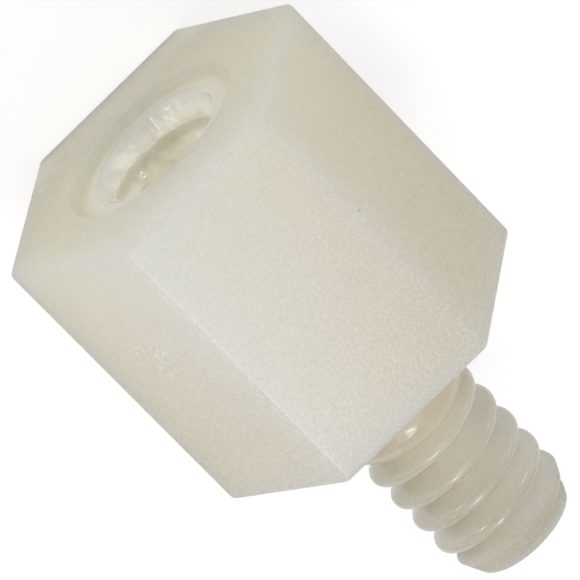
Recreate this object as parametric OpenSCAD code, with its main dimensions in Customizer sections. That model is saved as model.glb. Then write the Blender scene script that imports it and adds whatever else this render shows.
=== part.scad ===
// Male-female hex standoff, moulded in one piece.
// It lies on one of its flats, as it comes to rest on a bench.
// The thread axis is X, the stud points along +X and the shoulder is at X = 0.
// Threads are drawn plain: the stud at its major and the bore at its minor diameter.

/* [Body] */
// Distance between two opposite flats of the hexagon
across_flats = 6.35; // [5.5:0.05:12]
// Length of the hexagon, from the female end to the shoulder
body_len = 6.5; // [6:0.05:40]
// Radius along the six long corners
corner_r = 0.2; // [0.1:0.05:0.5]
// Radius around the rims of both ends
rim_r = 0.15; // [0.1:0.05:0.5]

/* [Female end] */
// Diameter of the shallow recess around the bore
recess_d = 3.9; // [3.4:0.05:4.2]
// Depth of the recess
recess_depth = 0.2; // [0.15:0.05:1]
// Radius of the lip around the recess
lip_r = 0.12; // [0.05:0.01:0.15]
// Minor diameter of the thread in the bore
bore_d = 2.2; // [1.8:0.05:2.6]
// Depth of the blind bore at its full diameter, from the end face
bore_depth = 4.6; // [3:0.05:5]
// Diameter at the mouth of the bore, where its chamfer starts
bore_mouth_d = 2.9; // [2.7:0.05:3.2]
// Diameter of the flat face that ends the bore
bore_floor_d = 1.4; // [0.8:0.05:1.7]

/* [Stud] */
// Major diameter of the thread on the stud
stud_d = 2.8; // [2.6:0.05:3.5]
// Length of the stud from the shoulder to its tip
stud_len = 4.6; // [3:0.05:20]
// Length of the tapered lead-in at the tip
lead_in = 0.8; // [0.3:0.05:1.2]
// Diameter at the end of the lead-in
tip_d = 2.4; // [1.6:0.05:2.5]
// Radius around the flat face of the tip
tip_r = 0.15; // [0.05:0.05:0.3]
// Radius where the stud grows out of the shoulder
root_r = 0.15; // [0.1:0.05:0.3]

/* [Gate mark] */
// Distance from the shoulder to the middle of the gate
gate_at = 3.85; // [1.5:0.05:4.5]
// Diameter of the dimple around the gate
gate_dimple_d = 1.5; // [1:0.05:2]
// Depth of the dimple
gate_dimple_depth = 0.05; // [0.03:0.01:0.15]
// Diameter of the gate stub that stands in the dimple
gate_stub_d = 0.5; // [0.3:0.05:0.8]

/* [Hidden] */
$fn = 96;
nylon = [0.86, 0.84, 0.78];
// Flat part of each face, between the starts of its two corner radii
flat_w = (across_flats - 2 * corner_r) * tan(30);
// Distance of each corner radius's centre from the axis
corner_at = (across_flats / 2 - corner_r) / cos(30);
// Depth at which the bore has its full diameter, below its 45 degree chamfer
bore_top = recess_depth + (bore_mouth_d - bore_d) / 2;
// Height of the 45 degree cone between the bore's wall and its flat floor
floor_cone = (bore_d - bore_floor_d) / 2;
// Turn from the stud's lead-in to its flat tip, and the run that its radius takes up
tip_turn = atan2(lead_in, (stud_d - tip_d) / 2);
tip_run = tip_r * tan(tip_turn / 2);
// How far a cut or a joined solid reaches past the face it starts from
reach = 0.5;
// How far a radius stands past the faces that it joins, so that they meet in clean edges
hair = 0.0001;
// Turn about the axis of the flat with the gate, which looks up and to -Y as the part lies
gate_turn = 240;
// Radius of the ball that presses the dimple into the flat
gate_ball_r = (pow(gate_dimple_d / 2, 2) + pow(gate_dimple_depth, 2)) / (2 * gate_dimple_depth);

// Hexagon with rounded corners and two of its flats square to X
module hex_profile() {
    for (a = [0, 60, 120])
        rotate(a)
            square([across_flats, flat_w], center = true);
    for (a = [30 : 60 : 330])
        rotate(a)
            translate([corner_at + hair, 0])
                circle(r = corner_r);
}

// Lengthwise section through two opposite flats, with rounded corners
module side_profile(width, length) {
    square([width - 2 * rim_r, length], center = true);
    square([width, length - 2 * rim_r], center = true);
    for (x = [-1, 1], y = [-1, 1])
        translate([x * (width / 2 - rim_r), y * (length / 2 - rim_r)])
            circle(r = rim_r);
}

// Solid hexagon below the shoulder, its end rims rounded along each flat
module hex_blank() {
    translate([0, 0, -body_len / 2])
        intersection() {
            linear_extrude(body_len, center = true)
                hex_profile();
            intersection_for(a = [0, 60, 120])
                rotate([90, 0, a])
                    linear_extrude(2 * across_flats, center = true)
                        side_profile(across_flats + 2 * hair, body_len + 2 * hair);
        }
}

// Half section of the blind bore and its recess, from outside the end face at y = 0 inwards
module bore_profile() {
    difference() {
        polygon([
            [0, -reach],
            [recess_d / 2 + lip_r, -reach],
            [recess_d / 2 + lip_r, 0],
            [recess_d / 2, lip_r],
            [recess_d / 2, recess_depth],
            [bore_mouth_d / 2, recess_depth],
            [bore_d / 2, bore_top],
            [bore_d / 2, bore_depth],
            [bore_floor_d / 2, bore_depth + floor_cone],
            [0, bore_depth + floor_cone]
        ]);
        translate([recess_d / 2 + lip_r, lip_r])
            circle(r = lip_r);
    }
}

// Half section of the stud, from inside the body at y = -reach up to the tip
module stud_profile() {
    difference() {
        polygon([
            [0, -reach],
            [stud_d / 2 + root_r, -reach],
            [stud_d / 2 + root_r, 0],
            [stud_d / 2, root_r],
            [stud_d / 2, stud_len - lead_in],
            [tip_d / 2 + tip_run * cos(tip_turn), stud_len - tip_run * sin(tip_turn)],
            [tip_d / 2 - tip_run, stud_len],
            [0, stud_len]
        ]);
        translate([stud_d / 2 + root_r - hair, root_r - hair])
            circle(r = root_r);
    }
    translate([tip_d / 2 - tip_run, stud_len - tip_r])
        circle(r = tip_r);
}

module bore() {
    translate([0, 0, -body_len])
        rotate_extrude()
            bore_profile();
}

module stud() {
    rotate_extrude()
        stud_profile();
}

// Hollow dimple in one flat, with the stub of the gate left standing in it
module gate_dimple() {
    rotate([0, 0, gate_turn])
        translate([across_flats / 2, 0, -gate_at])
            rotate([0, 90, 0])
                difference() {
                    translate([0, 0, gate_ball_r - gate_dimple_depth])
                        sphere(r = gate_ball_r);
                    translate([0, 0, -2 * gate_dimple_depth])
                        cylinder(d = gate_stub_d, h = 2 * gate_dimple_depth);
                }
}

module hex_standoff() {
    color(nylon)
        rotate([0, 90, 0])
            difference() {
                union() {
                    hex_blank();
                    stud();
                }
                bore();
                gate_dimple();
            }
}

hex_standoff();
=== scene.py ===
import math
from contextlib import contextmanager
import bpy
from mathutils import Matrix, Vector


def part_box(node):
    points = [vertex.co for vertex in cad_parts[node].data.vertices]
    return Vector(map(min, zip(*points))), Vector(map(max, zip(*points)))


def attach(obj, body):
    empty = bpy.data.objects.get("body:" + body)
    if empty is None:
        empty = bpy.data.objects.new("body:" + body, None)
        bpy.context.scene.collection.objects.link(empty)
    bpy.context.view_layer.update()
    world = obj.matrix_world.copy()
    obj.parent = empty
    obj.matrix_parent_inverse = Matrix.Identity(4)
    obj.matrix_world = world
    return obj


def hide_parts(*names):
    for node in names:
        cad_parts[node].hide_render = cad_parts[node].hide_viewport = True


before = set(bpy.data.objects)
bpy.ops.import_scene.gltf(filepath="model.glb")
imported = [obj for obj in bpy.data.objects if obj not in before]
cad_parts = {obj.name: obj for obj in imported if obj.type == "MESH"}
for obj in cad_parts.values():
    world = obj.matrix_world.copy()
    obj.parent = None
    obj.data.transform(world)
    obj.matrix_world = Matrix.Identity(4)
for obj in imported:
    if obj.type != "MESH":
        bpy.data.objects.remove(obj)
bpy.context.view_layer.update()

from types import SimpleNamespace

import bmesh
import bpy
from mathutils import Vector

bl_info = {
    "name": "Nylon hex standoff",
    "version": (1, 0, 0),
    "blender": (4, 5, 0),
    "location": "View3D > Sidebar > Standoff",
    "description": "Builds a male-female hex standoff moulded in natural nylon",
    "category": "Add Mesh",
}

NODE_LOW, NODE_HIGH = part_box("hex_standoff")

# The settings are in metres. Shapes are modelled in millimetres, where Blender's merge distances
# fit, and the finished moulding is then made metres.
TO_MM = 1000.0
TO_METRES = 0.001

# Steps around a turned shape, along a turn of thread, in a rounded edge and around smaller shapes
LATHE_STEPS = 112
THREAD_STEPS = 96
ARC_STEPS = 6
CORNER_STEPS = 5
NECK_STEPS = 8
DIMPLE_STEPS = 256
STUB_STEPS = 40
STUB_BEVEL_STEPS = 3

# Lengths in millimetres
TINY = 0.001
MERGE = 1e-4
# How far a cutter or a joined solid reaches past the face that it starts from
REACH = 0.6
# How far one turned shape stays clear of the crests or roots of a thread
CLEAR = 0.1
# How far the tap's core lies inside the bore's wall
TAP_INSIDE = 0.02
STUB_HEIGHT = 0.4
STUB_BEVEL = 0.03
# The nose of the plug in the last groove: its length, its drop and how far its end still rises
NOSE_LENGTH = 0.4
NOSE_DROP = 0.25
NOSE_RISE = 0.02

# Thread forms: half of the flat crest and root in pitches, and the rounding in millimetres
STUD_FORM = {"half_crest": 0.14, "half_root": 0.03, "blend": 0.087}
TAP_FORM = {"half_crest": 0.06, "half_root": 0.1, "blend": 0.04}

# A corner's rounding takes less than half of each side
HALF_SIDE = 0.49
# The recess's floor has a ring of edges this many lip radii from its wall and from the mouth
RING = 1.3
SMOOTH_DEGREES = 35


# ---------------------------------------------------------------- selection and edit mode

def deselect_all():
    bpy.ops.object.select_all(action="DESELECT")


def make_active(obj):
    deselect_all()
    obj.select_set(True)
    bpy.context.view_layer.objects.active = obj


@contextmanager
def editing(obj):
    """Edit mode on one object, with all of its mesh selected."""
    make_active(obj)
    bpy.ops.object.mode_set(mode="EDIT")
    bpy.ops.mesh.select_mode(type="VERT")
    bpy.ops.mesh.select_all(action="SELECT")
    try:
        yield
    finally:
        bpy.ops.object.mode_set(mode="OBJECT")


def pick(kind, test):
    """Select in edit mode only the verts, edges or faces that pass the test."""
    obj = bpy.context.edit_object
    bpy.ops.mesh.select_mode(type={"verts": "VERT", "edges": "EDGE", "faces": "FACE"}[kind])
    bpy.ops.mesh.select_all(action="DESELECT")
    mesh = bmesh.from_edit_mesh(obj.data)
    found = 0
    for part in getattr(mesh, kind):
        if test(part):
            part.select_set(True)
            found += 1
    mesh.select_flush_mode()
    bmesh.update_edit_mesh(obj.data)
    return found


def apply_place(obj):
    make_active(obj)
    bpy.ops.object.transform_apply(location=True, rotation=True, scale=True)


def add_modifier(obj, kind, **settings):
    make_active(obj)
    bpy.ops.object.modifier_add(type=kind)
    modifier = obj.modifiers[-1]
    for key, value in settings.items():
        setattr(modifier, key, value)
    return modifier


def apply_modifier(obj, kind, **settings):
    modifier = add_modifier(obj, kind, **settings)
    bpy.ops.object.modifier_apply(modifier=modifier.name)


# ---------------------------------------------------------------- turned and threaded shapes

def arc(centre, radius, start, end, steps=ARC_STEPS):
    """Points (along, out) on an arc, its angles in degrees from the thread axis."""
    points = []
    for i in range(steps + 1):
        angle = math.radians(start + (end - start) * i / steps)
        points.append((centre[0] + radius * math.cos(angle), centre[1] + radius * math.sin(angle)))
    return points


def trace(name, points):
    """A wire from point to point in the plane of X and Y, drawn by extruding its last vertex."""
    deselect_all()
    bpy.ops.mesh.primitive_plane_add(size=1.0, location=(points[0][0], points[0][1], 0.0))
    obj = bpy.context.active_object
    obj.name = name
    with editing(obj):
        bpy.ops.mesh.merge(type="CENTER")
        for a, b in zip(points, points[1:]):
            step = (b[0] - a[0], b[1] - a[1], 0.0)
            bpy.ops.mesh.extrude_vertices_move(TRANSFORM_OT_translate={"value": step})
    apply_place(obj)
    return obj


def lathe(name, points, steps=LATHE_STEPS):
    """A closed solid turned about X from a profile that starts and ends on the axis."""
    obj = trace(name, points)
    apply_modifier(
        obj, "SCREW", axis="X", angle=math.tau, screw_offset=0.0, steps=steps,
        render_steps=steps, use_merge_vertices=True, merge_threshold=MERGE,
    )
    tidy_solid(obj)
    return obj


def tidy_solid(obj):
    """Merge doubled vertices and turn the faces outwards."""
    with editing(obj):
        bpy.ops.mesh.remove_doubles(threshold=MERGE)
        bpy.ops.mesh.normals_make_consistent(inside=False)


def thread_profile(pitch, crest, root, half_crest, half_root, blend):
    """Half section of one turn, from root to root, with its crest at 0 and its corners rounded."""
    half_crest, half_root = half_crest * pitch, half_root * pitch
    corners = [
        (-pitch / 2, root), (-pitch / 2 + half_root, root), (-half_crest, crest),
        (half_crest, crest), (pitch / 2 - half_root, root), (pitch / 2, root),
    ]
    points = [corners[0]]
    for before, at, after in zip(corners, corners[1:], corners[2:]):
        points += rounded_corner(Vector(before), Vector(at), Vector(after), blend)
    return points + [corners[-1]]


def rounded_corner(before, at, after, run, steps=CORNER_STEPS):
    """Points on the curve that leaves one side and joins the next, run away from the corner."""
    start = at + (before - at).normalized() * min(run, HALF_SIDE * (before - at).length)
    end = at + (after - at).normalized() * min(run, HALF_SIDE * (after - at).length)
    points = []
    for i in range(steps + 1):
        t = i / steps
        points.append(tuple((1 - t) ** 2 * start + 2 * t * (1 - t) * at + t ** 2 * end))
    return points


def threaded_rod(name, profile, pitch, crest_at, first, turns):
    """A right-handed thread about X. At +Y its crests lie whole pitches from crest_at."""
    start = crest_at + first * pitch
    obj = trace(name, [(x + start, r) for x, r in profile])
    apply_modifier(
        obj, "SCREW", axis="X", angle=math.tau, screw_offset=pitch, iterations=turns,
        steps=THREAD_STEPS, render_steps=THREAD_STEPS, use_merge_vertices=False,
    )
    with editing(obj):
        bpy.ops.mesh.remove_doubles(threshold=MERGE)
    middle = start + pitch * turns / 2
    for side in (-1, 1):
        with editing(obj):
            pick("edges", lambda e: e.is_boundary and side * (e.verts[0].co.x - middle) > 0)
            bpy.ops.mesh.edge_face_add()
            bpy.ops.mesh.poke()
    tidy_solid(obj)
    return obj


def combine(target, tool, operation):
    """Join, cut or intersect the target with the tool, which is used up."""
    apply_modifier(target, "BOOLEAN", operation=operation, object=tool, solver="EXACT")
    mesh = tool.data
    bpy.data.objects.remove(tool)
    bpy.data.meshes.remove(mesh)


# ---------------------------------------------------------------- the standoff

def hex_blank(body):
    """The hexagon, its long corners and both rims rounded, cut into small fields."""
    flats, length = body.across_flats * TO_MM, body.length * TO_MM
    deselect_all()
    bpy.ops.mesh.primitive_cylinder_add(
        vertices=6, radius=flats / 2 / math.cos(math.pi / 6), depth=length,
        location=(-length / 2, 0, 0), rotation=(0, math.pi / 2, 0),
    )
    obj = bpy.context.active_object
    obj.name = "hex_moulding"
    apply_place(obj)
    corner = body.corner_radius * TO_MM * math.tan(math.pi / 6)
    with editing(obj):
        pick("edges", lambda e: abs(e.verts[0].co.x - e.verts[1].co.x) > length / 2)
        bpy.ops.mesh.bevel(offset=corner, segments=ARC_STEPS, affect="EDGES")
        pick("edges", lambda e: abs(e.verts[0].co.x - e.verts[1].co.x) < TINY)
        bpy.ops.mesh.bevel(offset=body.rim_radius * TO_MM, segments=ARC_STEPS, affect="EDGES")
    cut_into_fields(obj, body.field * TO_MM)
    return obj


def cut_into_fields(obj, size):
    """Bisect the solid by evenly spaced planes, so that its flats can be shaped."""
    low = [min(v.co[i] for v in obj.data.vertices) for i in range(3)]
    high = [max(v.co[i] for v in obj.data.vertices) for i in range(3)]
    for axis in range(3):
        count = round((high[axis] - low[axis]) / size)
        normal = [1.0 if i == axis else 0.0 for i in range(3)]
        for i in range(1, count):
            at = low[axis] + (high[axis] - low[axis]) * i / count
            with editing(obj):
                bpy.ops.mesh.bisect(plane_co=[at * n for n in normal], plane_no=normal)


def stud_blank(stud):
    """The space that the thread fills: straight, then tapered to the rounded tip."""
    crest, length = stud.major_diameter / 2 * TO_MM, stud.length * TO_MM
    tip, taper = stud.tip_diameter / 2 * TO_MM, stud.lead_in * TO_MM
    slope = (crest - tip) / taper
    wide = crest + CLEAR
    turn = math.degrees(math.atan2(taper, crest - tip))
    radius = stud.tip_radius * TO_MM
    run = radius * math.tan(math.radians(turn) / 2)
    tip_arc = arc((length - radius, tip - run), radius, 90 - turn, 0)
    return lathe("stud_blank", [
        (-REACH, 0), (-REACH, wide), (length - taper - (wide - crest) / slope, wide),
        *tip_arc, (length, 0),
    ])


def stud_neck(stud):
    """The plain neck, with the fillet where it leaves the shoulder and the cone that ends it."""
    neck, fillet = stud.neck_diameter / 2 * TO_MM, stud.root_radius * TO_MM
    length, cone = stud.neck_length * TO_MM, stud.run_out * TO_MM
    end = (length + cone, stud.minor_diameter / 2 * TO_MM - CLEAR)
    sides = Vector((fillet, neck)), Vector((length, neck)), Vector(end)
    return lathe("stud_neck", [
        (-REACH / 2, 0), (-REACH / 2, neck + fillet),
        *arc((fillet - TINY, neck + fillet), fillet, 180, 270),
        *rounded_corner(*sides, stud.neck_round * TO_MM, NECK_STEPS), end, (end[0], 0),
    ])


def tip_plug(stud):
    """Fills the last groove, where the thread runs into the tip."""
    length, core = stud.length * TO_MM, stud.plug_diameter / 2 * TO_MM
    start = length - stud.plug_length * TO_MM
    return lathe("tip_plug", [
        (start, 0), (start, core - NOSE_DROP), (start + NOSE_LENGTH, core - NOSE_RISE),
        (length + REACH, core), (length + REACH, 0),
    ])


def threaded_stud(stud):
    """The thread between its plain neck and its tapered tip, set off centre by the mould."""
    pitch = stud.pitch * TO_MM
    profile = thread_profile(
        pitch, stud.major_diameter / 2 * TO_MM, stud.minor_diameter / 2 * TO_MM, **STUD_FORM,
    )
    first = -3
    turns = math.ceil(stud.length * TO_MM / pitch) - first
    rod = threaded_rod("stud_thread", profile, pitch, stud.crest_at * TO_MM, first, turns)
    combine(rod, tip_plug(stud), "UNION")
    combine(rod, stud_blank(stud), "INTERSECT")
    combine(rod, stud_neck(stud), "UNION")
    make_active(rod)
    bpy.ops.transform.translate(value=(0, -stud.off_centre * TO_MM, 0))
    apply_place(rod)
    return rod


def blind_bore(bore, length):
    """The recess, the chamfered mouth and the tapping bore, as one cutter."""
    end = -length
    recess, depth = bore.recess_diameter / 2 * TO_MM, bore.recess_depth * TO_MM
    lip, mouth = bore.lip_radius * TO_MM, bore.mouth_diameter / 2 * TO_MM
    minor, floor = bore.minor_diameter / 2 * TO_MM, bore.floor_diameter / 2 * TO_MM
    step, deep = end + depth, end + bore.depth * TO_MM
    bottom = deep + minor - floor
    return lathe("blind_bore", [
        (end - REACH, 0), (end - REACH, recess + lip),
        *arc((end + lip - TINY, recess + lip), lip, 180, 270),
        *arc((step - lip, recess - lip), lip, 90, 0), (step, recess - RING * lip),
        (step, mouth + RING * lip), (step, mouth), (step + mouth - minor, minor), (deep, minor),
        (bottom, floor), (bottom, 0),
    ])


def tap(bore, length):
    """The cutter for the bore's thread, its surface uneven as moulded threads are."""
    pitch = bore.pitch * TO_MM
    core = bore.minor_diameter / 2 * TO_MM - TAP_INSIDE
    profile = thread_profile(pitch, bore.major_diameter / 2 * TO_MM, core, **TAP_FORM)
    first = -1
    turns = math.floor(bore.depth * TO_MM / pitch) - 1
    obj = threaded_rod("tap", profile, pitch, -length + bore.crest_at * TO_MM, first, turns)
    lumps = bpy.data.textures.new("uneven_thread", "CLOUDS")
    lumps.noise_scale = bore.lump_size * TO_MM
    apply_modifier(
        obj, "DISPLACE", texture=lumps, texture_coords="LOCAL", mid_level=0.5,
        strength=bore.lump_height * TO_MM,
    )
    return obj


def press_gate_mark(obj, gate, body):
    """A shallow dimple in one flat, with the torn stub of the gate in it."""
    turn = math.radians(gate.turn_degrees)
    outward = Vector((0, math.cos(turn), math.sin(turn)))
    face = body.across_flats / 2 * TO_MM
    width, depth = gate.dimple_diameter * TO_MM, gate.dimple_depth * TO_MM
    radius = ((width / 2) ** 2 + depth ** 2) / (2 * depth)
    centre = outward * (face + radius - depth)
    deselect_all()
    bpy.ops.mesh.primitive_uv_sphere_add(
        segments=DIMPLE_STEPS, ring_count=DIMPLE_STEPS, radius=radius,
        location=(-gate.at * TO_MM, *centre[1:]), rotation=(turn, 0, 0),
    )
    ball = bpy.context.active_object
    apply_place(ball)
    combine(ball, gate_stub(gate, outward, face, turn), "DIFFERENCE")
    combine(obj, ball, "DIFFERENCE")


def gate_stub(gate, outward, face, turn):
    """The stub that the gate leaves in its dimple, slightly bevelled where it was sheared off."""
    middle = outward * (face - gate.stub_below * TO_MM - STUB_HEIGHT / 2)
    deselect_all()
    bpy.ops.mesh.primitive_cylinder_add(
        vertices=STUB_STEPS, radius=gate.stub_diameter / 2 * TO_MM, depth=STUB_HEIGHT,
        location=(-gate.at * TO_MM, *middle[1:]), rotation=(turn - math.pi / 2, 0, 0),
    )
    stub = bpy.context.active_object
    apply_place(stub)
    with editing(stub):
        pick("edges", lambda e: len(e.link_faces) == 2 and max(len(f.verts) for f in e.link_faces) > 4)
        bpy.ops.mesh.bevel(offset=STUB_BEVEL, segments=STUB_BEVEL_STEPS, affect="EDGES")
    return stub


def make_metres(obj):
    """Scale a piece that was modelled in millimetres down to metres."""
    make_active(obj)
    bpy.ops.transform.resize(value=(TO_METRES, TO_METRES, TO_METRES), center_override=(0, 0, 0))
    bpy.ops.object.transform_apply(location=True, rotation=True, scale=True)


# ---------------------------------------------------------------- shader maths

class Socket:
    """A value in a node tree. Python's operators on it add Math nodes."""

    def __init__(self, shader, link):
        self.shader = shader
        self.link = link

    def _math(self, operation, *values):
        return self.shader.node("ShaderNodeMath", {"operation": operation}, list(values))

    def __add__(self, other):
        return self._math("ADD", self, other)

    def __radd__(self, other):
        return self._math("ADD", other, self)

    def __sub__(self, other):
        return self._math("SUBTRACT", self, other)

    def __rsub__(self, other):
        return self._math("SUBTRACT", other, self)

    def __mul__(self, other):
        return self._math("MULTIPLY", self, other)

    def __rmul__(self, other):
        return self._math("MULTIPLY", other, self)

    def __truediv__(self, other):
        return self._math("DIVIDE", self, other)

    def __pow__(self, other):
        return self._math("POWER", self, other)

    def sibling(self, name):
        """Another output of the same node."""
        return Socket(self.shader, self.link.node.outputs[name])

    def clamp(self):
        return self.shader.node("ShaderNodeClamp", {}, {"Value": self})

    def cosine(self):
        return self._math("COSINE", self)

    def root(self):
        return self._math("SQRT", self)

    def step(self, low, high):
        """Runs smoothly from 0 at low to 1 at high."""
        return self.shader.node(
            "ShaderNodeMapRange", {"interpolation_type": "SMOOTHSTEP"},
            {"Value": self, "From Min": low, "From Max": high, "To Min": 0.0, "To Max": 1.0},
        )


class Shader:
    """A material's node tree, built one node at a time."""

    def __init__(self, name):
        self.material = bpy.data.materials.new(name)
        self.material.use_nodes = True
        self.tree = self.material.node_tree
        self.tree.nodes.clear()
        self.output = self.tree.nodes.new("ShaderNodeOutputMaterial")

    def node(self, kind, settings=None, values=None, out=0):
        """Add a node, set it up, fill or link its inputs, and return one of its outputs."""
        node = self.tree.nodes.new(kind)
        for key, value in (settings or {}).items():
            setattr(node, key, value)
        pairs = values.items() if isinstance(values, dict) else enumerate(values or [])
        for key, value in pairs:
            if isinstance(value, Socket):
                self.tree.links.new(value.link, node.inputs[key])
            else:
                node.inputs[key].default_value = value
        return Socket(self, node.outputs[out])

    def finish(self, surface):
        """Link the surface and return the material."""
        self.tree.links.new(surface.link, self.output.inputs["Surface"])
        return self.material


def separate(shader, vector):
    """The three parts of a vector."""
    first = shader.node("ShaderNodeSeparateXYZ", {}, [vector])
    return [first.sibling(name) for name in "XYZ"]


def distance_to(shader, at, point):
    """The distance in millimetres from a point given in metres."""
    metres = shader.node(
        "ShaderNodeVectorMath", {"operation": "DISTANCE"}, [at.vector, point], out="Value",
    )
    return metres * TO_MM


def noise(shader, at, scale, detail, roughness=0.5):
    """Cloudy noise with this many lumps to the metre."""
    return shader.node(
        "ShaderNodeTexNoise", {},
        {"Vector": at.vector, "Scale": scale, "Detail": detail, "Roughness": roughness},
    )


def mix_colour(shader, factor, first, second):
    """A mix of two colours, each a socket or its red, green and blue."""
    first, second = (c if isinstance(c, Socket) else (*c, 1.0) for c in (first, second))
    values = {"Factor": factor, "A": first, "B": second}
    return shader.node("ShaderNodeMix", {"data_type": "RGBA"}, values, out="Result")


# ---------------------------------------------------------------- the nylon

# Where the surface changes, in millimetres. Each pair runs from 0 at its first number to 1 at its
# second. First along X from the shoulder:
STUD_STARTS = (-0.05, 0.3)
BORE_BOTTOM = (-1.4, -1.2)
NECK_ENDS = (0.9, 1.3)
GROOVES_START = (1.1, 1.5)
GROOVES_END = (4.0, 4.3)
TIP_FADE = (0.8, 4.6)
TIP_WAVES = (3.7, 3.9)
MATT_TIP = (3.6, 4.0)
# behind the bored face:
FACE_ENDS = (0.01, 0.06)
SHEEN_STARTS = (0.08, 0.2)
RECESS_WALL_ENDS = (0.2, 0.25)
# out from the axis:
WALL_GLOW_ENDS = (1.15, 1.35)
HOLE_ENDS = (1.35, 1.5)
TURNED_ENDS = (1.5, 1.95)
RECESS_WALL_INSIDE = (1.85, 1.9)
RECESS_WALL_OUTSIDE = (2.0, 2.05)
LONG_CORNERS = (2.9, 3.67)
# along Y, along Z and down from the upper flat:
SHEEN_FADE = (-1.7, 1.7)
FACE_FADE = (-3.2, 3.2)
LOWER_RIM = (-3.05, -1.8)
FLAT_ENDS = (0.001, 0.007)
# and away from the place where light soaks in, from the gate and, squared, from the painted highlight
# line:
SOAKED = (1.0, 6.5)
TORN_AREA = (0.4, 0.8)
HIGHLIGHT_LINE_WIDTH = (0.0, 0.003)

# Parts of each noise that run from 0 to 1
SPECKLE_RANGE = (0.3, 0.7)
MOTTLE_RANGE = (0.35, 0.65)
TORN_RANGE = (0.54, 0.64)
# Lumps to the metre in the torn nylon and in the clouds
TORN_SCALE = 9000.0
CLOUD_SCALE = 700.0

# How much each part counts, as shares
HOLE_WAVES = 0.7
TURNED_WAVES = 0.3
TORN_HEIGHT = 0.7
WALL_DIMMED = 0.8
GLOW_EVEN = 0.5
HIGHLIGHT_LINE_EVEN = 0.4
STUD_UNFROSTED = 0.6
RECESS_WALL_GAIN = 4.0
RIM_SHARE = 0.7
BORE_EVEN = 0.6
GROOVE_SHARE = 0.75
GROOVE_PER_MM = 0.25
# How far the grooves' painted light lies from their middle, in turns, and how much of a spot is full
GROOVE_TURN = 0.08
SPOT_CORE = 0.3

REFRACTION = 1.53
BUMP_DISTANCE = 0.00002
SCATTER_COLOURS = (1.0, 0.95, 0.8)
BLACK = (0.0, 0.0, 0.0)
WHITE = (1.0, 1.0, 1.0)

# Marks on the surface, darker marks and painted glints that glow: place and radius in metres, and
# strength
DARK_MARKS = (
    (-0.003771, 0.001862, 0.003110, 0.00005, 0.45),
    (-0.0065, -0.00144, -0.00232, 0.00018, 0.1),
    (-0.0065, -0.00160, -0.00246, 0.00015, 0.08),
    (-0.0065, -0.00195, -0.00140, 0.0002, 0.05),
    (-0.0065, -0.0027, -0.0009, 0.00008, 0.08),
)
# Painted glints: spots that glow
PAINTED_GLINT_SPOTS = (
    (-0.0065, -0.00213, -0.00196, 0.0001, 1.2),
    (-0.003381, -0.002747, 0.001533, 0.00006, 0.8),
    (-0.003591, -0.002817, 0.001391, 0.00005, 0.7),
    (-0.004010, -0.002625, 0.001714, 0.00006, 0.7),
    (-0.0037, -0.00279, 0.00143, 0.00004, 0.6),
)


def nylon_material(look, body, gate, stud):
    """Natural nylon that light sinks into, frosted on the hexagon and glossy on the threads, with
    painted light, shade and glow.
    """
    shader = Shader("natural_nylon")
    at = surface_place(shader, body)
    grain = nylon_grain(shader, at, look)
    on = nylon_areas(shader, at, body, gate, stud)
    smooth = (on.stud + on.turned).clamp()
    # Painted glow: emission in the bore, dimmed on its wall, on the lower rim and at the painted glint
    # spots, stands in for light coming through the nylon
    through = 1 - WALL_DIMMED * at.radius.step(*WALL_GLOW_ENDS)
    glow = on.hole * through * (GLOW_EVEN + grain.mottle)
    glow = glow + look.rim_painted_glow * on.rim + spots(shader, at, PAINTED_GLINT_SPOTS)
    bump = {
        "Strength": look.grain_strength, "Distance": BUMP_DISTANCE,
        "Height": nylon_height(look, at, on, grain),
    }
    values = {
        "Base Color": nylon_colour(shader, look, at, on, grain),
        "Roughness": look.thread_roughness * smooth + look.roughness * (1 - smooth),
        "IOR": REFRACTION,
        "Normal": shader.node("ShaderNodeBump", {}, bump),
        "Subsurface Weight": 1.0, "Subsurface Radius": SCATTER_COLOURS,
        "Subsurface Scale": look.scatter, "Subsurface Anisotropy": 0.0,
        "Emission Color": mix_colour(shader, glow, BLACK, look.bore_painted_glow),
        "Emission Strength": 1.0,
    }
    glossy, matt = (
        shader.node("ShaderNodeBsdfPrincipled", {}, {**values, "Specular IOR Level": shine})
        for shine in (look.shine, 0.0)
    )
    return shader.finish(
        shader.node("ShaderNodeMixShader", {}, [at.x.step(*MATT_TIP), glossy, matt])
    )


def surface_place(shader, body):
    """Where a point of the surface is, in metres as a vector and otherwise in millimetres.

    Besides X, Y, Z and the distance from the axis, it says how far the point lies behind the
    bored face and under the upper flat.
    """
    vector = shader.node("ShaderNodeTexCoord", out="Object")
    x, y, z = (part * TO_MM for part in separate(shader, vector))
    return SimpleNamespace(
        vector=vector, x=x, y=y, z=z, radius=(y * y + z * z).root(),
        behind_face=x + body.length * TO_MM, under_top=body.across_flats / 2 * TO_MM - z,
    )


def nylon_grain(shader, at, look):
    """The noises of the surface: fine speckles, waves in the bore and clouds in the nylon."""
    waves = noise(shader, at, 1 / look.wave, detail=4.0, roughness=0.62)
    return SimpleNamespace(
        speckle=noise(shader, at, 1 / look.grain, detail=2.0, roughness=0.7).step(*SPECKLE_RANGE),
        waves=waves, mottle=waves.step(*MOTTLE_RANGE),
        cloud=noise(shader, at, CLOUD_SCALE, detail=3.0),
    )


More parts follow.
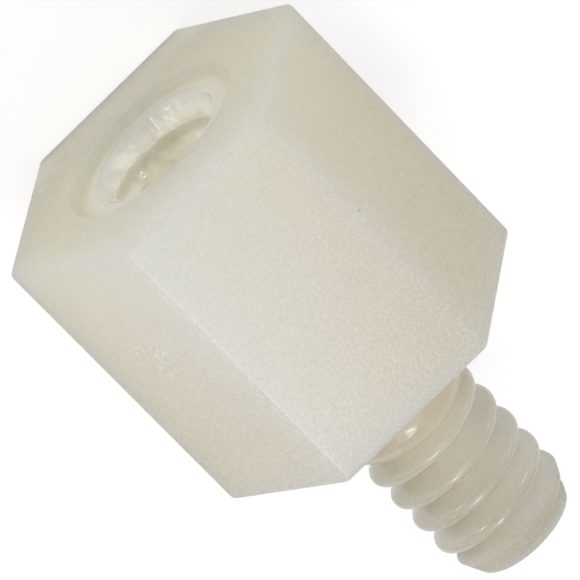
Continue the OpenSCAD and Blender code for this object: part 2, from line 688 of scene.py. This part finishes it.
def nylon_areas(shader, at, body, gate, stud):
    """Each area of the surface, 1 on it and 0 off it."""
    on_stud = at.x.step(*STUD_STARTS)
    bored = 1 - at.x.step(*BORE_BOTTOM)
    face = 1 - at.behind_face.step(*FACE_ENDS)
    wall = at.radius.step(*RECESS_WALL_INSIDE) * (1 - at.radius.step(*RECESS_WALL_OUTSIDE))
    wall = RECESS_WALL_GAIN * wall * (1 - face) * (1 - at.behind_face.step(*RECESS_WALL_ENDS))
    flat_top = 1 - at.under_top.step(*FLAT_ENDS)
    return SimpleNamespace(
        stud=on_stud, body=1 - on_stud, neck=1 - at.x.step(*NECK_ENDS),
        groove=on_stud * thread_groove(shader, stud, at),
        hole=bored * (1 - at.radius.step(*HOLE_ENDS)),
        turned=bored * (1 - at.radius.step(*TURNED_ENDS)),
        face=face, rim=face * (1 - at.z.step(*LOWER_RIM)), recess_wall=wall.clamp(),
        upper=(1 - on_stud) * at.behind_face.step(*SHEEN_STARTS) * flat_top,
        torn=gate_roughness(shader, at, gate, body),
    )


def thread_groove(shader, stud, at):
    """1 in the stud's grooves and 0 on its crests, beyond the plain neck."""
    side = at.y + stud.off_centre * TO_MM
    angle = shader.node("ShaderNodeMath", {"operation": "ARCTAN2"}, [at.z, side])
    turns = (at.x - stud.crest_at * TO_MM) / (stud.pitch * TO_MM) - angle / math.tau
    wave = 0.5 - 0.5 * ((turns - GROOVE_TURN) * math.tau).cosine()
    return wave ** 2 * at.x.step(*GROOVES_START) * (1 - at.x.step(*GROOVES_END))


def gate_roughness(shader, at, gate, body):
    """Lumps of nylon torn up around the gate."""
    turn = math.radians(gate.turn_degrees)
    out = body.across_flats / 2
    centre = (-gate.at, out * math.cos(turn), out * math.sin(turn))
    near = 1 - distance_to(shader, at, centre).step(*TORN_AREA)
    return near * noise(shader, at, TORN_SCALE, detail=1.0).step(*TORN_RANGE)


def spots(shader, at, marks):
    """Small round marks, each with its place, radius and strength."""
    total = 0.0
    for *place, radius, strength in marks:
        size = radius * TO_MM
        total = strength * (1 - distance_to(shader, at, place).step(SPOT_CORE * size, size)) + total
    return total


def nylon_height(look, at, on, grain):
    """The surface's height for the bump, in grains."""
    waves = (HOLE_WAVES * on.hole + TURNED_WAVES * on.turned + at.x.step(*TIP_WAVES)) * grain.waves
    speckle = grain.speckle * (1 - on.stud - on.turned)
    return speckle + on.torn * TORN_HEIGHT + waves * look.wave_height


def nylon_colour(shader, look, at, on, grain):
    """White where light soaks in, with painted shade that is warmer far from there, deeper on the
    stud, its corners and low on the bored face, and painted light in the bore, the grooves and on the
    lower rim.
    """
    # Painted shade: warmer towards the stud, down the bored face and far from where light soaks in
    warmth = (at.behind_face + on.face * at.under_top) * look.warm_shade_per_mm
    far = (distance_to(shader, at, look.soak_place).step(*SOAKED) + warmth).clamp()
    white = mix_colour(shader, far, look.frost_and_sheen_colour, look.shaded_frost_and_sheen)
    nylon = mix_colour(shader, far, look.colour, look.warm_shade_colour)
    layers = (
        # painted shade low on the bored face
        (on.face * (1 - at.z.step(*FACE_FADE)), look.end_shade_colour),
        # painted shade on the stud, along the long corners and towards the stud, and random clouds
        (painted_shade_and_clouds(look, at, on, grain), look.shade_and_cloud_colour),
        (frost_and_painted_sheen(look, at, on, grain), white),
        # painted light in the stud's grooves, more on its +Y side, against their shade
        (on.groove * (GROOVE_SHARE + GROOVE_PER_MM * at.y) * look.groove_painted_light, look.groove_painted_light_colour),
        # painted light on the bored face's lower rim
        (on.rim * RIM_SHARE, look.rim_painted_light_colour),
        # darker round marks
        (spots(shader, at, DARK_MARKS), look.dark_mark_colour),
        # painted light inside the bore, mottled
        (on.hole * (BORE_EVEN + (1 - BORE_EVEN) * grain.mottle), look.bore_painted_light_colour),
    )
    for share, colour in layers:
        nylon = mix_colour(shader, share, nylon, colour)
    return nylon


def painted_shade_and_clouds(look, at, on, grain):
    """How far the colour turns to painted shade on the stud, its neck, tip and -Y side, along the long
    corners and towards the stud, and to random clouds.
    """
    stud = look.stud_shade + on.neck * look.neck_shade + at.x.step(*TIP_FADE) * look.tip_shade
    stud = on.stud * (stud - at.y * look.side_shade)
    corners = at.radius.step(*LONG_CORNERS) * look.corner_shade
    clouds = (grain.cloud - 0.5) * look.cloud_depth
    return (stud + on.body * corners + clouds + on.body * at.behind_face * look.shade_per_mm).clamp()


def frost_and_painted_sheen(look, at, on, grain):
    """How white the grain's speckles and the torn nylon by the gate are, with a painted sheen on the
    upper flat, a painted highlight line beside one long corner and painted light on the recess's wall.
    """
    speckle = grain.speckle * look.speckle_lift * (1 - STUD_UNFROSTED * on.stud)
    # Painted sheen on the upper flat, fading towards +Y
    flat = on.upper * (1 - at.y.step(*SHEEN_FADE)) * look.sheen_lift
    # Painted highlight: a speckled white line on the upper flat beside one long corner
    off_highlight_line = at.y + look.highlight_line_at * TO_MM
    highlight_line = on.upper * (1 - (off_highlight_line * off_highlight_line).step(*HIGHLIGHT_LINE_WIDTH))
    highlight_line = highlight_line * (HIGHLIGHT_LINE_EVEN + (1 - HIGHLIGHT_LINE_EVEN) * grain.speckle) * look.highlight_line_lift
    # Whiter torn nylon by the gate, and painted light on the recess's wall
    torn, wall = on.torn * look.torn_lift, on.recess_wall * look.wall_painted_light
    return (speckle + flat + highlight_line + torn + wall).clamp()


# ---------------------------------------------------------------- the floor's material

def floor_material(stage):
    """A pale floor that keeps the standoff's shadow and is white where nothing shades it."""
    shader = Shader("pale_floor")
    camera_ray = shader.node("ShaderNodeLightPath")
    glossy = camera_ray.sibling("Is Glossy Ray")
    through = camera_ray.sibling("Is Transmission Ray")
    seen = (camera_ray + glossy + through).clamp()
    paint = shader.node("ShaderNodeBsdfDiffuse", {}, {"Color": (*stage.floor_colour, 1.0)})
    glow = shader.node(
        "ShaderNodeEmission", {}, {"Color": (*WHITE, 1.0), "Strength": seen * stage.floor_lift},
    )
    return shader.finish(shader.node("ShaderNodeAddShader", {}, [paint, glow]))


# ---------------------------------------------------------------- settings

def length_prop(name, description, default):
    return bpy.props.FloatProperty(
        name=name, description=description, default=default, min=0.0, precision=6,
        subtype="DISTANCE", unit="LENGTH",
    )


def power_prop(name, description, default):
    return bpy.props.FloatProperty(
        name=name, description=description, default=default, min=0.0, precision=4,
    )


def share_prop(name, description, default):
    return bpy.props.FloatProperty(
        name=name, description=description, default=default, min=0.0, max=1.0,
    )


def number_prop(name, description, default):
    return bpy.props.FloatProperty(name=name, description=description, default=default)


def colour_prop(name, description, default):
    return bpy.props.FloatVectorProperty(
        name=name, description=description, default=default, size=3, min=0.0, max=1.0,
        subtype="COLOR",
    )


class BodySizes(bpy.types.PropertyGroup):
    """The hexagonal body"""

    across_flats: length_prop(
        "Across flats", "Distance between opposite flats", NODE_HIGH.z - NODE_LOW.z,
    )
    length: length_prop("Length", "Length of the hexagon", -NODE_LOW.x)
    corner_radius: length_prop("Corner radius", "Radius along the six long corners", 0.0002)
    rim_radius: length_prop("Rim radius", "Radius around both ends", 0.00015)
    field: length_prop("Field", "Size of the fields that the flats are cut into", 0.00025)


class StudSizes(bpy.types.PropertyGroup):
    """The threaded stud"""

    length: length_prop("Length", "Length of the stud from the shoulder", NODE_HIGH.x)
    major_diameter: length_prop("Major diameter", "Diameter over the thread's crests", 0.0028)
    minor_diameter: length_prop("Minor diameter", "Diameter at the thread's roots", 0.0020)
    pitch: length_prop("Pitch", "Distance from one crest to the next", 0.000645)
    crest_at: length_prop("Crest", "Distance from the shoulder to a crest on the +Y side", 0.0014)
    neck_diameter: length_prop("Neck diameter", "Diameter of the plain neck", 0.00282)
    neck_length: length_prop("Neck length", "Length of the plain neck", 0.00118)
    neck_round: length_prop("Neck rounding", "How far the neck's end is rounded", 0.0004)
    run_out: length_prop("Run-out", "Length of the cone in which the thread starts", 0.0003)
    root_radius: length_prop("Root radius", "Radius where the neck leaves the shoulder", 0.00015)
    lead_in: length_prop("Lead-in", "Length of the tapered end", 0.0006)
    tip_diameter: length_prop("Tip diameter", "Diameter at the end of the taper", 0.0024)
    tip_radius: length_prop("Tip radius", "Radius around the flat tip", 0.00022)
    plug_length: length_prop("Plug length", "How far from the tip the groove is filled", 0.00085)
    plug_diameter: length_prop("Plug diameter", "Diameter to which it is filled", 0.00234)
    off_centre: length_prop("Off centre", "How far the mould sets the stud towards -Y", 0.00013)


class BoreSizes(bpy.types.PropertyGroup):
    """The recess and the threaded bore behind it"""

    recess_diameter: length_prop("Recess diameter", "Diameter of the recess", 0.0039)
    recess_depth: length_prop("Recess depth", "Depth of the recess", 0.0002)
    lip_radius: length_prop("Lip radius", "Radius of the lip and the foot of the recess", 0.00009)
    mouth_diameter: length_prop("Mouth diameter", "Diameter where the chamfer starts", 0.0029)
    minor_diameter: length_prop("Minor diameter", "Diameter inside the thread's crests", 0.0022)
    major_diameter: length_prop("Major diameter", "Diameter at the thread's roots", 0.00275)
    pitch: length_prop("Pitch", "Distance from one turn to the next", 0.000645)
    crest_at: length_prop("Groove", "Depth of a groove on the +Y side", 0.0003)
    lump_size: length_prop("Lump size", "Size of the lumps that make the thread uneven", 0.00035)
    lump_height: length_prop("Lump height", "Height of those lumps", 0.0001)
    depth: length_prop("Depth", "Depth of the bore at its full diameter", 0.0046)
    floor_diameter: length_prop("Floor diameter", "Diameter of the bore's flat floor", 0.0014)


class GateSizes(bpy.types.PropertyGroup):
    """The mark that the mould's gate left on one flat"""

    at: length_prop("Distance", "Distance from the shoulder", 0.00385)
    dimple_diameter: length_prop("Dimple diameter", "Diameter of the dimple", 0.0015)
    dimple_depth: length_prop("Dimple depth", "Depth of the dimple", 0.00005)
    stub_diameter: length_prop("Stub diameter", "Diameter of the gate's stub", 0.0005)
    stub_below: length_prop("Stub below", "How far the stub ends below the flat", 0.00001)
    turn_degrees: bpy.props.FloatProperty(
        name="Turn", description="Turn of the gate's flat about X from +Y, in degrees",
        default=150.0,
    )


class NylonLook(bpy.types.PropertyGroup):
    """Colours, grain and shine of the nylon, and its painted light and shade"""

    colour: colour_prop("Colour", "Colour where light soaks in", (0.922, 0.879, 0.803))
    # Painted shade: the colour far from where light soaks in
    warm_shade_colour: colour_prop("Warm colour", "Colour far from there", (0.925, 0.823, 0.625))
    # Colour of the painted shade on the stud and the long corners, and of the random clouds
    shade_and_cloud_colour: colour_prop("Deep colour", "Colour of the thin nylon", (0.50, 0.447, 0.355))
    # White of the grain's frost, and of the painted sheen, highlight and light on the upper flat and
    # the recess's wall
    frost_and_sheen_colour: colour_prop("Frost colour", "Colour of the frost on the flats", (1.0, 0.957, 0.87))
    # The same white far from where light soaks in, in painted shade
    shaded_frost_and_sheen: colour_prop("Warm frost", "Colour of the frost far from there", (1.0, 0.925, 0.785))
    # Painted light in the stud's grooves
    groove_painted_light_colour: colour_prop("Groove colour", "Colour of the stud's grooves", (0.99, 0.95, 0.87))
    dark_mark_colour: colour_prop("Dirt colour", "Colour of the dark marks", (0.3, 0.27, 0.22))
    # Painted light inside the bore
    bore_painted_light_colour: colour_prop("Bore colour", "Colour inside the bore", (0.972, 0.942, 0.85))
    # Painted shade low on the bored face
    end_shade_colour: colour_prop("End colour", "Colour low on the bored face", (0.915, 0.765, 0.545))
    # Painted light on the bored face's lower rim
    rim_painted_light_colour: colour_prop("Rim colour", "Colour of that face's lower rim", (1.0, 0.93, 0.66))
    # Painted glow: emission in the bore
    bore_painted_glow: colour_prop(
        "Bore glow", "Light that comes through the nylon into the bore", (0.13, 0.115, 0.091),
    )
    # Painted glow on that lower rim
    rim_painted_glow: share_prop("Rim glow", "Share of that light that comes out of the lower rim", 1.0)
    soak_place: bpy.props.FloatVectorProperty(
        name="Soak place", description="Where most light soaks in",
        default=(-0.003, -0.0011, 0.0041), subtype="TRANSLATION", precision=5,
    )
    # Painted shade on the stud: all of it, more at its neck, its tip and its -Y side
    stud_shade: share_prop("Stud depth", "How far the stud turns to the deep colour", 0.45)
    neck_shade: share_prop("Neck depth", "How much further its neck turns", 0.17)
    tip_shade: share_prop("Tip depth", "How much further its tip turns", 0.6)
    side_shade: share_prop("Side depth", "How much further its -Y side turns per mm", 0.18)
    # Painted light in the stud's grooves
    groove_painted_light: share_prop("Groove lift", "How far the stud's grooves are lightened", 0.8)
    # Painted light on the recess's wall
    wall_painted_light: share_prop("Lip lift", "How white the recess's wall is", 0.25)
    # Painted shade that grows warmer towards the stud
    warm_shade_per_mm: share_prop("Warmth per mm", "How fast it turns warm towards the stud", 0.013)
    # Painted shade that deepens towards the stud
    shade_per_mm: share_prop("Depth per mm", "How fast it turns deep towards the stud", 0.052)
    # Painted shade along the long corners
    corner_shade: share_prop("Corner depth", "How far the long corners turn", 0.095)
    cloud_depth: share_prop("Cloud depth", "How far the clouds turn", 0.1)
    speckle_lift: share_prop("Speckle lift", "How white the speckles are", 0.48)
    # Painted sheen on the upper flat
    sheen_lift: share_prop("Frost lift", "How white the frost on the upper flat is", 0.42)
    # Painted highlight line beside one long corner, and below it its place
    highlight_line_lift: share_prop("Ridge lift", "How white the ridge beside one long corner is", 0.3)
    torn_lift: share_prop("Torn lift", "How white the torn nylon around the gate is", 0.6)
    highlight_line_at: length_prop("Ridge", "Distance of that ridge from the flat's middle", 0.001735)
    scatter: length_prop("Scatter", "How far light sinks in", 0.003)
    grain: length_prop("Grain", "Size of the grain on the faces", 0.00006)
    grain_strength: share_prop("Grain strength", "Strength of the grain", 0.6)
    wave: length_prop("Wave", "Size of the waves inside the bore", 0.0004)
    wave_height: number_prop("Wave height", "Height of the waves in grains", 6.0)
    roughness: share_prop("Roughness", "Roughness of the frosted hexagon", 0.42)
    thread_roughness: share_prop("Thread roughness", "Roughness of the stud and the bore", 0.1)
    shine: share_prop("Shine", "Strength of the reflections", 0.45)


class StageSettings(bpy.types.PropertyGroup):
    """The floor, the lights and the camera"""

    floor_size: length_prop("Floor size", "Width of the floor", 0.6)
    floor_colour: colour_prop("Floor colour", "Colour of the floor", (0.45, 0.45, 0.45))
    floor_lift: number_prop("Floor lift", "White added to the floor as seen", 0.71)
    key_power: power_prop("Key power", "Power of the light above the stud's end", 0.121)
    glint_power: power_prop("Glint power", "Power of the light that makes the stud's glints", 0.069)
    front_power: power_prop("Front power", "Power of each light before the bore", 0.08)
    left_power: power_prop("Left power", "Power of the light on the -Y side", 0.027)
    right_power: power_prop("Right power", "Power of the light on the +Y side", 0.05)
    key_size: length_prop("Key size", "Width of the light above the stud's end", 0.2)
    lamp_size: length_prop("Lamp size", "Width of the lights at both sides", 0.1)
    small_lamp_size: length_prop("Small lamp size", "Width of the lights before the bore", 0.05)
    glint_size: length_prop("Glint size", "Width of that light", 0.06)
    lamp_distance: length_prop("Lamp distance", "Distance of each light", 0.2)
    sky_strength: number_prop("Sky strength", "Brightness of the white surroundings", 0.285)
    camera_place: bpy.props.FloatVectorProperty(
        name="Camera place", description="Where the camera stands",
        default=(-0.062369, 0.001050, 0.144110), subtype="TRANSLATION", precision=6,
    )
    camera_turn: bpy.props.FloatVectorProperty(
        name="Camera turn", description="Turn of the camera about X, Y and Z",
        default=tuple(math.radians(a) for a in (-16.8830, -15.2928, 47.9118)),
        subtype="EULER", precision=6,
    )
    lens: number_prop("Lens", "Focal length in millimetres", 515.23)


# ---------------------------------------------------------------- operators

# Each light: name, compass direction and height in degrees, and the settings of its power and width
LAMPS = (
    ("key_light", 320, 65, "key_power", "key_size"),
    ("glint_light", 339, 48, "glint_power", "glint_size"),
    ("left_front_light", 214, 10, "front_power", "small_lamp_size"),
    ("right_front_light", 144, 10, "front_power", "small_lamp_size"),
    ("left_light", 270, 25, "left_power", "lamp_size"),
    ("right_light", 90, 15, "right_power", "lamp_size"),
)


class STANDOFF_OT_moulding(bpy.types.Operator):
    """Build the standoff as one closed nylon moulding"""

    bl_idname = "standoff.moulding"
    bl_label = "Standoff"

    def execute(self, context):
        scene = context.scene
        body, stud, bore = scene.standoff_body, scene.standoff_stud, scene.standoff_bore
        moulding = hex_blank(body)
        press_gate_mark(moulding, scene.standoff_gate, body)
        combine(moulding, threaded_stud(stud), "UNION")
        combine(moulding, blind_bore(bore, body.length * TO_MM), "DIFFERENCE")
        combine(moulding, tap(bore, body.length * TO_MM), "DIFFERENCE")
        tidy_solid(moulding)
        make_metres(moulding)
        bpy.ops.object.shade_smooth_by_angle(angle=math.radians(SMOOTH_DEGREES))
        moulding.data.materials.clear()
        nylon = nylon_material(scene.standoff_look, body, scene.standoff_gate, stud)
        moulding.data.materials.append(nylon)
        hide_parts("hex_standoff")
        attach(moulding, "root")
        return {"FINISHED"}


class STANDOFF_OT_stage(bpy.types.Operator):
    """Lay the floor and set up the lights and the camera"""

    bl_idname = "standoff.stage"
    bl_label = "Stage"

    def execute(self, context):
        stage = context.scene.standoff_stage
        deselect_all()
        bpy.ops.mesh.primitive_plane_add(size=stage.floor_size, location=(0, 0, NODE_LOW.z))
        floor = context.active_object
        floor.name = "pale_floor"
        apply_place(floor)
        floor.data.materials.append(floor_material(stage))
        for name, azimuth, elevation, power, size in LAMPS:
            add_lamp(
                name, azimuth, elevation, getattr(stage, power), getattr(stage, size),
                stage.lamp_distance,
            )
        set_sky(context.scene, stage)
        add_camera(context.scene, stage)
        context.scene.view_settings.view_transform = "Standard"
        return {"FINISHED"}


def add_lamp(name, azimuth, elevation, power, size, distance):
    """A round soft light that looks at the standoff from a direction given in degrees."""
    turn, rise = math.radians(azimuth), math.radians(elevation)
    level = math.cos(rise)
    direction = Vector((math.cos(turn) * level, math.sin(turn) * level, math.sin(rise)))
    bpy.ops.object.light_add(
        type="AREA", location=direction * distance,
        rotation=direction.to_track_quat("Z", "Y").to_euler(),
    )
    lamp = bpy.context.active_object
    lamp.name = name
    lamp.data.shape = "DISK"
    lamp.data.size = size
    lamp.data.energy = power


def set_sky(scene, stage):
    world = bpy.data.worlds.new("white_surroundings")
    scene.world = world
    world.use_nodes = True
    background = world.node_tree.nodes["Background"]
    background.inputs["Color"].default_value = (*WHITE, 1.0)
    background.inputs["Strength"].default_value = stage.sky_strength


def add_camera(scene, stage):
    bpy.ops.object.camera_add(location=stage.camera_place, rotation=stage.camera_turn)
    camera = bpy.context.active_object
    camera.name = "camera"
    camera.data.lens = stage.lens
    camera.data.clip_start = 0.001
    scene.camera = camera


class STANDOFF_PT_panel(bpy.types.Panel):
    """Sizes, colours and the steps that build the standoff"""

    bl_idname = "STANDOFF_PT_panel"
    bl_label = "Standoff"
    bl_space_type = "VIEW_3D"
    bl_region_type = "UI"
    bl_category = "Standoff"

    def draw(self, context):
        for operator in OPERATORS:
            self.layout.operator(operator.bl_idname)
        for name, group in SETTINGS.items():
            box = self.layout.box()
            box.label(text=group.__name__)
            settings = getattr(context.scene, name)
            for key in group.__annotations__:
                box.prop(settings, key)


SETTINGS = {
    "standoff_body": BodySizes,
    "standoff_stud": StudSizes,
    "standoff_bore": BoreSizes,
    "standoff_gate": GateSizes,
    "standoff_look": NylonLook,
    "standoff_stage": StageSettings,
}
OPERATORS = (STANDOFF_OT_moulding, STANDOFF_OT_stage)


def register():
    for cls in (*SETTINGS.values(), *OPERATORS, STANDOFF_PT_panel):
        bpy.utils.register_class(cls)
    for name, group in SETTINGS.items():
        setattr(bpy.types.Scene, name, bpy.props.PointerProperty(type=group))


def unregister():
    for name in SETTINGS:
        delattr(bpy.types.Scene, name)
    for cls in (STANDOFF_PT_panel, *reversed(OPERATORS), *reversed(list(SETTINGS.values()))):
        bpy.utils.unregister_class(cls)


def main():
    register()
    bpy.ops.standoff.moulding()
    bpy.ops.standoff.stage()


if __name__ == "__main__":
    main()
